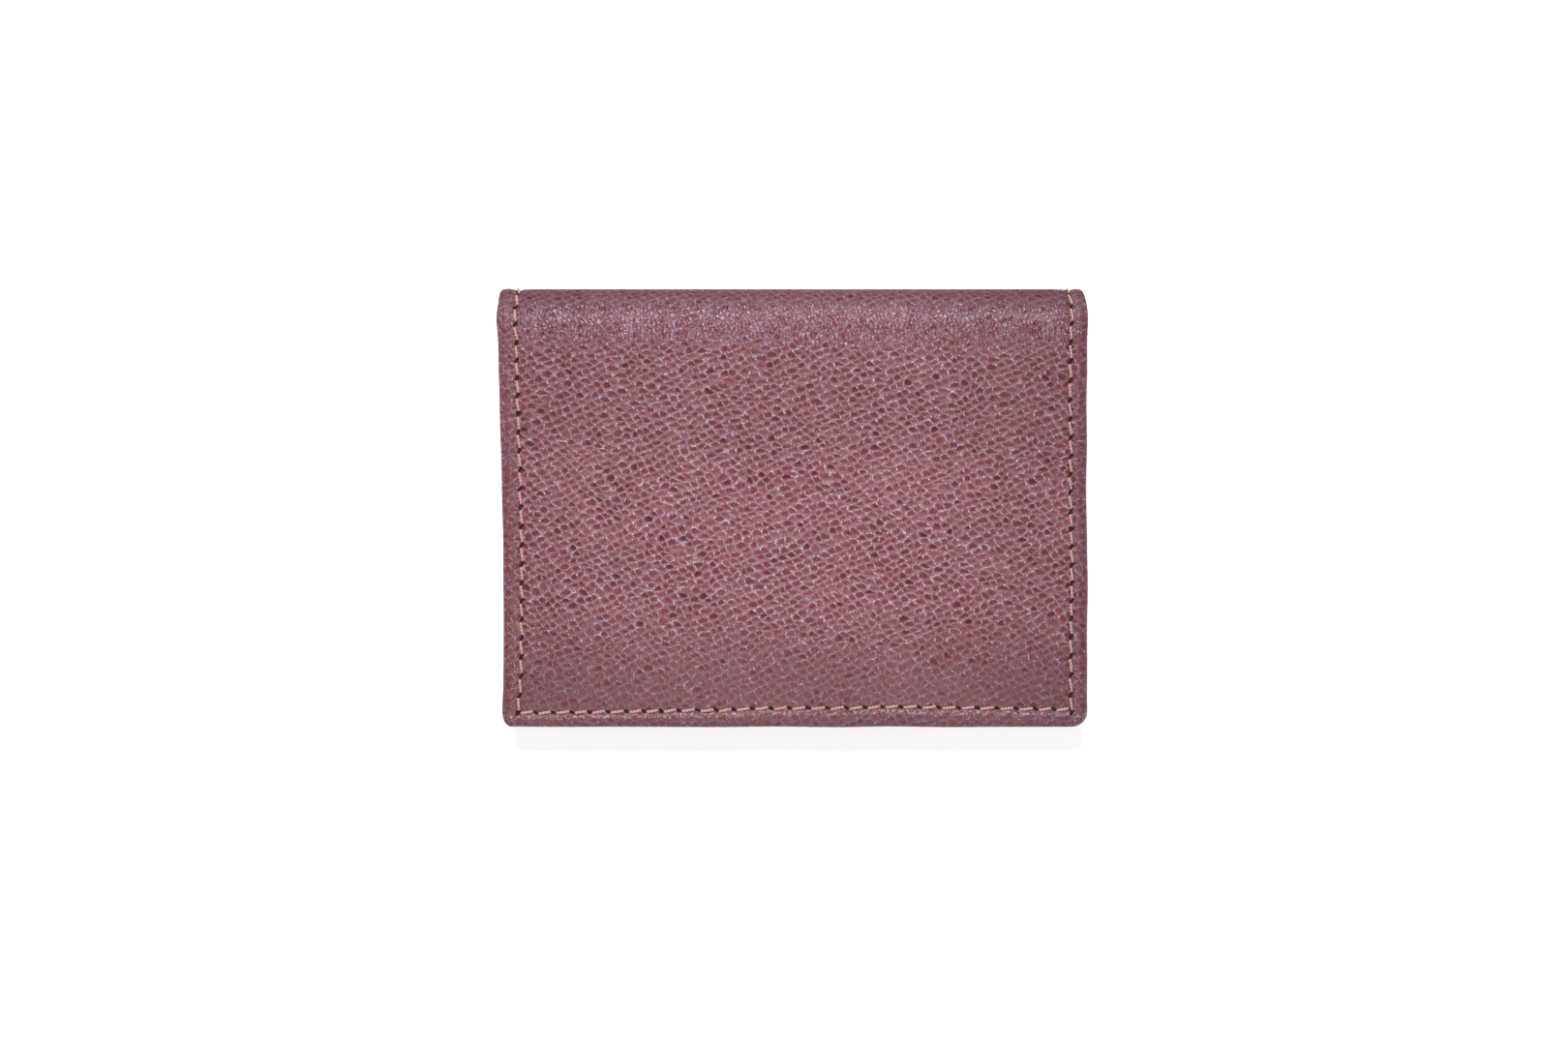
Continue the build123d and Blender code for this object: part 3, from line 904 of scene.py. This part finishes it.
def cover_stitches(cover, inside):
    """The stitches of a cover's seam, on its outer face or on the lining inside."""
    random = np.random.default_rng(7 if cover.front else 8)
    sunk = 0.0 if cover.front else 0.2 * MM  # so that the case rests on its leather
    stitches = []
    for part, holes in ((0, cover.foot_holes), (-1, cover.side_holes[-1]), (1, cover.side_holes[1])):
        for number in range(len(holes) - 1):
            slant = 0.20 * MM * random.uniform(0.75, 1.25) * (-1 if part == -1 else 1)
            wander = random.uniform(-0.06, 0.06) * MM
            along = number + STITCH_GAP + (1 - 2 * STITCH_GAP) * SHARES
            x, s = cover.seam_place(part, along, slant * (2 * SHARES - 1) + wander)
            depth = inside(x, s) if inside else sunk - cover.relief(x, s)
            surface = cover.place(*cover.warp(x, s), depth)
            x, s = cover.seam_place(part, along, 0.0)
            above = cover.place(x, s, -MM) - cover.place(x, s, 0.0)
            stitches.append(lying_thread(surface, -above if inside else above, THREAD * TIGHT[part]))
    return stitches


def around(mouth):
    """Where a seam steps down from a pocket's panel, just past its mouth."""
    return mouth - 0.2 * MM, mouth + 0.9 * MM


def inner_depth(cover):
    """Depth of the innermost sheet that a cover's seam goes through."""
    def depth(x, s):
        if not cover.front:
            return FLOOR - SLIP * smooth(s, *around(SLIP_MOUTH)) - INNER_SUNK
        slots = 2 - smooth(s, *around(REAR_MOUTH)) - smooth(s, *around(FRONT_MOUTH))
        return PANEL + SLOT * slots - INNER_SUNK
    return depth


for cover in (FRONT, BACK):
    for place_name, inside in (("outer", None), ("inner", inner_depth(cover))):
        seam = join_threads(f"{cover.name}_{place_name}_seam", cover_stitches(cover, inside))
        cover.bend(seam)
        if inside is None:
            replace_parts(seam, f"{cover.name}_seam_thread")
            if cover.front:
                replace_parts(seam, "fold_seam_thread")


# ---- lining and flat pockets

def flat_sheet(name, cover, mouth, depth, thickness, material, step, reach_fold=False, crease=None):
    """A flat sheet inside a cover, its mouth towards the fold."""
    rim = min(thickness / 2, RIM)
    x_lines = spaced(-LINING_X + rim, LINING_X - rim, step)
    s_lines = spaced(EDGE + rim, mouth - (0 if reach_fold else rim), step)
    x, s = np.meshgrid(x_lines, s_lines)
    for side in (-1, 1):
        x, s = round_corner(x, s, (side * (LINING_X - rim), EDGE + rim), (1.0 * MM, 1.0 * MM))
    sheet = Sheet(columns(x, s), rim, thickness)
    x, s = sheet.places.T
    inner = 1 - sheet.depths / thickness  # the face that shows is the deeper one
    lift = -0.12 * MM * bell(LINING_X - np.abs(x) - 2.0 * MM, 0.5 * MM)
    if crease:
        lift = lift - 0.14 * MM * bell(s - (mouth - crease), 0.35 * MM)
    shown = depth + thickness - sheet.depths + lift * inner
    faces = sheet.faces[:, ::-1] if cover.front else sheet.faces
    place = columns(*sheet.leather.T / MM, 0) + [37 * len(name), 11, 0]
    attributes = looks(place, calm=0.35, raised=0.8 * inner, wear_and_painted_light=0.6 * sheet.edge_share)
    return new_piece(name, cover.place(x, s, shown), faces, material, attributes)


for cover in (FRONT, BACK):
    name = f"{cover.name}_lining"
    lining = flat_sheet(f"{name}_cloth", cover, cover.end, COVER, PANEL - COVER,
                        LINING_CLOTH, 0.8 * MM, reach_fold=True)
    cover.bend(lining)
    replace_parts(lining, name)
    if cover.front:
        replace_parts(lining, "fold_lining")

slots = (
    ("rear_card_slot", FRONT, REAR_MOUTH, PANEL, SLOT),
    ("front_card_slot", FRONT, FRONT_MOUTH, PANEL + SLOT, SLOT),
    ("back_slip_pocket", BACK, SLIP_MOUTH, PANEL, SLIP),
)
for name, cover, mouth, depth, thickness in slots:
    panel = flat_sheet(f"{name}_panel", cover, mouth, depth, thickness,
                       POCKET_LEATHER, SHOWN_STEP, crease=2.2 * MM)
    raise_grain(panel, 0.6)
    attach(panel, cover.name)
    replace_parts(panel, name)


# ---- the gusseted card pocket

NOTCH_RADIUS = 9.0 * MM
NOTCH_RISE = 1.0 * MM
NOTCH_CORNER = 2.0 * MM
HEM = 1.0 * MM  # how far the wall's lining stays above its foot


def mouth_outline(step):
    """(x, s) along the pocket wall's mouth from left to right, down and up through the notch."""
    centre = WALL_MOUTH + NOTCH_RISE
    corner_s = WALL_MOUTH - NOTCH_CORNER
    reach = NOTCH_RADIUS + NOTCH_CORNER
    corner_x = math.sqrt(reach ** 2 - (centre - corner_s) ** 2)
    meet = math.atan2(centre - corner_s, corner_x)
    corner = [(-corner_x + NOTCH_CORNER * math.cos(a), corner_s + NOTCH_CORNER * math.sin(a))
              for a in np.linspace(math.pi / 2, meet, 8)]
    arc = [(-NOTCH_RADIUS * math.cos(a), centre - NOTCH_RADIUS * math.sin(a))
           for a in np.linspace(meet, math.pi / 2, 24)][1:]
    straight = np.arange(-WALL_X + RIM, -corner_x, step)
    left = [(x, WALL_MOUTH) for x in straight if x < -corner_x - 0.2 * MM] + corner + arc
    return np.array(left + [(-x, s) for x, s in left[-2::-1]])


def wall_sheet(name, depth, thickness, material, s_low, grow=0.0):
    """A sheet of the pocket's front wall, riding on the front cover's slope."""
    rim = min(thickness / 2, RIM)
    mouth = mouth_outline(SHOWN_STEP)
    mouth[:, 1] -= rim + grow
    x_even = np.linspace(mouth[0, 0], mouth[-1, 0], len(mouth))
    share = spaced(0, 1, SHOWN_STEP / (WALL_MOUTH - s_low))[:, None]
    low = s_low + rim
    x = x_even * (1 - smooth(share, 0.3, 1.0)) + mouth[:, 0] * smooth(share, 0.3, 1.0)
    sheet = Sheet(columns(x, low + (mouth[:, 1] - low) * share), rim, thickness)
    x, s = sheet.places.T
    outer = 1 - sheet.depths / thickness
    seam = 0.1 * MM * bell(WALL_SEAM_X - np.abs(x), 0.5 * MM)
    crease = 0.12 * MM * bell(WALL_MOUTH - 2.0 * MM - s, 0.3 * MM) * smooth(np.abs(x), 13 * MM, 14 * MM)
    shown = depth + sheet.depths + (seam + crease) * outer
    place = columns(*sheet.leather.T / MM, 0) + [310, 57, 0]
    attributes = looks(place, calm=0.2, raised=0.7 * outer, wear_and_painted_light=0.6 * sheet.edge_share)
    return new_piece(name, FRONT.place(x, s, shown), sheet.faces, material, attributes)


wall = wall_sheet("pocket_wall", WALL_DEPTH, WALL_LEATHER, POCKET_LEATHER,
                  WALL_FOOT)
raise_grain(wall, 0.5)
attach(wall, "pocket")
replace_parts(wall, "pocket_front_leather")
wall_lining = wall_sheet("pocket_wall_lining", WALL_DEPTH + WALL_LEATHER, WALL_LINING,
                         LINING_CLOTH, WALL_FOOT + HEM, 0.8 * MM)
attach(wall_lining, "pocket")
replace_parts(wall_lining, "pocket_front_lining")


def wall_stitches(side):
    """The stitches of one side of the pocket wall."""
    random = np.random.default_rng(31 + side)
    above_foot, below_mouth = 3.0 * MM, 1.5 * MM
    span = WALL_MOUTH - WALL_FOOT - above_foot - below_mouth
    count = round(span / PITCH)
    stitches = []
    above = FRONT.place(0.0, 0.0, -1.0) - FRONT.place(0.0, 0.0, 0.0)
    for number in range(count):
        slant = 0.18 * MM * random.uniform(0.8, 1.2)
        along = number + WALL_GAP + (1 - 2 * WALL_GAP) * SHARES
        x = side * WALL_SEAM_X - slant * (2 * SHARES - 1)
        s = WALL_FOOT + above_foot + span * along / count
        stitches.append(lying_thread(FRONT.place(x, s, WALL_DEPTH + WALL_SUNK), above))
    return stitches


for side, name in ((-1, "left"), (1, "right")):
    seam = join_threads(f"{name}_pocket_seam", wall_stitches(side))
    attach(seam, "pocket")
    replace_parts(seam, f"{name}_pocket_seam_thread")


def hem():
    """The turned hem that closes the pocket's foot: a channel from under the wall to the floor."""
    thickness, depth, turn = 0.7 * MM, 4.0 * MM, 0.45 * MM
    front, top = FRONT.place(0.0, WALL_FOOT + 0.05 * MM, WALL_DEPTH + WALL_LEATHER)[1:]
    front, top = front + thickness / 2, top - thickness / 2
    low = FLOOR + thickness / 2 + 0.02 * MM
    upper = [(front + reach, top + reach * math.tan(WEDGE)) for reach in (depth, depth / 2)]
    arc = np.linspace(0, math.pi / 2, 6)
    upper += [(front + turn * (1 - math.sin(a)), top - turn * (1 - math.cos(a))) for a in arc]
    lower = [(front + turn * (1 - math.cos(a)), low + turn * (1 - math.sin(a))) for a in arc]
    path = np.array(upper + lower + [(front + depth / 2, low), (front + depth, low)])
    ahead = unit(np.gradient(path, axis=0))
    normal = columns(ahead[:, 1], -ahead[:, 0]) * thickness / 2
    loop = np.concatenate([path - normal, (path + normal)[::-1]])
    x = spaced(-WALL_X + 0.5 * MM, WALL_X - 0.5 * MM, 1.0 * MM)
    ends = np.minimum(1, 0.6 + np.minimum(x - x[0], x[-1] - x) / (1.0 * MM))[:, None, None]
    rings = path.mean(0) + (np.tile(loop, (len(x), 1, 1)) - path.mean(0)) * ends
    points = np.concatenate([np.repeat(x, len(loop))[:, None], rings.reshape(-1, 2)], 1)
    place = columns(points[:, 0], np.tile(travelled(loop), len(x)), 0) / MM + [310, 30, 0]
    # The whole hem is drawn darker with painted shade.
    return new_piece("pocket_hem", points, tube_faces(len(x), len(loop)),
                     POCKET_LEATHER, looks(place, calm=0.4, wear_and_painted_light=0.2, painted_shade=1))


foot_hem = hem()
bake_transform(foot_hem)


GUSSET_THICKNESS = 0.55 * MM
FLANGE_X = 45.6 * MM  # where a gusset's sewn flanges end and its soft V begins
CREASE_X = 45.0 * MM  # of the V's crease at the pocket's foot, where it is shallow


def fold_line(low, high, crease):
    """The gusset's section at one y: flange, soft V and flange, as (x, z) points."""
    low, high = low + 0.3 * MM, high - 0.3 * MM
    angle = np.linspace(-1, 1, 25)
    lobe = np.sin(angle * math.pi / 2)
    x = crease + (FLANGE_X - crease) * np.abs(angle) ** 1.25
    half = max((high - low) / 2, 0.02 * MM)
    z = (low + high) / 2 + half * np.sign(lobe) * np.abs(lobe) ** 0.9
    x[0] = x[-1] = FLANGE_X
    flange = np.linspace(GUSSET_HIGH.x, FLANGE_X, 7)[:-1]
    flat = np.ones(len(flange))
    return columns(np.concatenate([flange, x, flange[::-1]]),
                   np.concatenate([flat * low, z, flat * high]))


def gusset(name, side):
    """One side gusset: a soft fold of thin leather between the floor and the pocket wall."""
    y_lines = spaced(GUSSET_LOW.y, GUSSET_HIGH.y, 0.6 * MM)
    sections = []
    for y in y_lines:
        share = (y - GUSSET_LOW.y) / (GUSSET_HIGH.y - GUSSET_LOW.y)
        high = FRONT.place(0.0, along_front(y, WALL_BACK), WALL_BACK)[2] - 0.03 * MM
        sections.append(fold_line(FLOOR + 0.01 * MM, high, CREASE_X + (GUSSET_LOW.x - CREASE_X) * share))
    line = np.array(sections)
    y = np.repeat(y_lines[:, None], line.shape[1], 1)
    middle = columns(line[..., 0], y, line[..., 1])
    normal = unit(np.cross(np.gradient(middle, axis=0), np.gradient(middle, axis=1)))
    opening = np.ptp(middle[..., 2], axis=1)[:, None, None]
    reach = normal * GUSSET_THICKNESS / 2 * np.minimum(1, opening / (2.6 * MM))
    points = np.concatenate([(middle + reach).reshape(-1, 3), (middle - reach).reshape(-1, 3)])
    points[:, 0] *= side
    index = np.arange(y.size).reshape(y.shape)
    lower = index + y.size
    faces = np.concatenate([
        grid_faces(index), grid_faces(lower)[:, ::-1], band(border(index), border(lower))])
    place = columns(travelled(middle, 1), y, 0).reshape(-1, 3) / MM + [500 + 40 * side, 0, 0]
    attributes = looks(np.concatenate([place, place + [60, 0, 0]]), calm=0.8, stretch=0.1)
    return new_piece(name, points, faces if side > 0 else faces[:, ::-1],
                     GUSSET_LEATHER, attributes)


for side, name in ((-1, "left"), (1, "right")):
    fold = gusset(f"{name}_gusset_fold", side)
    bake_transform(fold)
    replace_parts(fold, f"{name}_gusset")


# ---- the boards inside the covers, as in the CAD

for name in ("back_stiffener_board", "front_stiffener_board"):
    node = frame["nodes"][name]
    node.data.materials.clear()
    node.data.materials.append(BOARD)


# ---- floor, light and camera

def floor(size, gap):
    """A pale floor, a small gap under the case, with a little light of its own."""
    mesh = bpy.data.meshes.new("floor")
    corners = (-1, -1), (1, -1), (1, 1), (-1, 1)
    mesh.from_pydata([(x * size, y * size, -gap) for x, y in corners], [], [(0, 1, 2, 3)])
    mesh.materials.append(new_material(
        "floor", Base_Color=srgb(246, 246, 246), Roughness=0.9,
        Emission_Color=(1, 1, 1, 1), Emission_Strength=0.42)[0])
    show("floor", mesh)


def softbox(name, azimuth, elevation, distance, size, power):
    """A square area light aimed at the case. Azimuth 0 is towards +Y, 90 towards +X."""
    data = bpy.data.lights.new(name, "AREA")
    data.shape = "SQUARE"
    data.size = size
    data.energy = power
    lamp = show(name, data)
    a, e = math.radians(azimuth), math.radians(elevation)
    towards = Vector((math.sin(a) * math.cos(e), math.cos(a) * math.cos(e), math.sin(e)))
    lamp.location = distance * towards
    lamp.rotation_euler = (-lamp.location).to_track_quat("-Z", "Y").to_euler()


def world(strength):
    made = bpy.data.worlds.new("studio")
    made.use_nodes = True
    background = made.node_tree.nodes["Background"].inputs
    background["Color"].default_value = (1, 1, 1, 1)
    background["Strength"].default_value = strength
    bpy.context.scene.world = made


def camera():
    """Looks straight down on the front cover, which stands a little right of and above the middle."""
    seen_width = 277.9 * MM
    distance = 620 * MM
    x, y, top = -1.37 * MM, -2.66 * MM, 11 * MM  # what it looks at, on top of the case
    data = bpy.data.cameras.new("camera")
    data.sensor_width = 36.0
    data.lens = data.sensor_width * distance / seen_width
    data.clip_start = 0.01
    made = show("camera", data)
    made.location = x, y, top + distance
    bpy.context.scene.camera = made


floor(size=3.0, gap=0.03 * MM)
softbox("key", azimuth=-8, elevation=54, distance=1.1, size=0.3, power=11.4)
softbox("front", azimuth=172, elevation=55, distance=1.3, size=0.9, power=8)
world(0.25)
camera()
bpy.context.scene.view_settings.view_transform = "Standard"
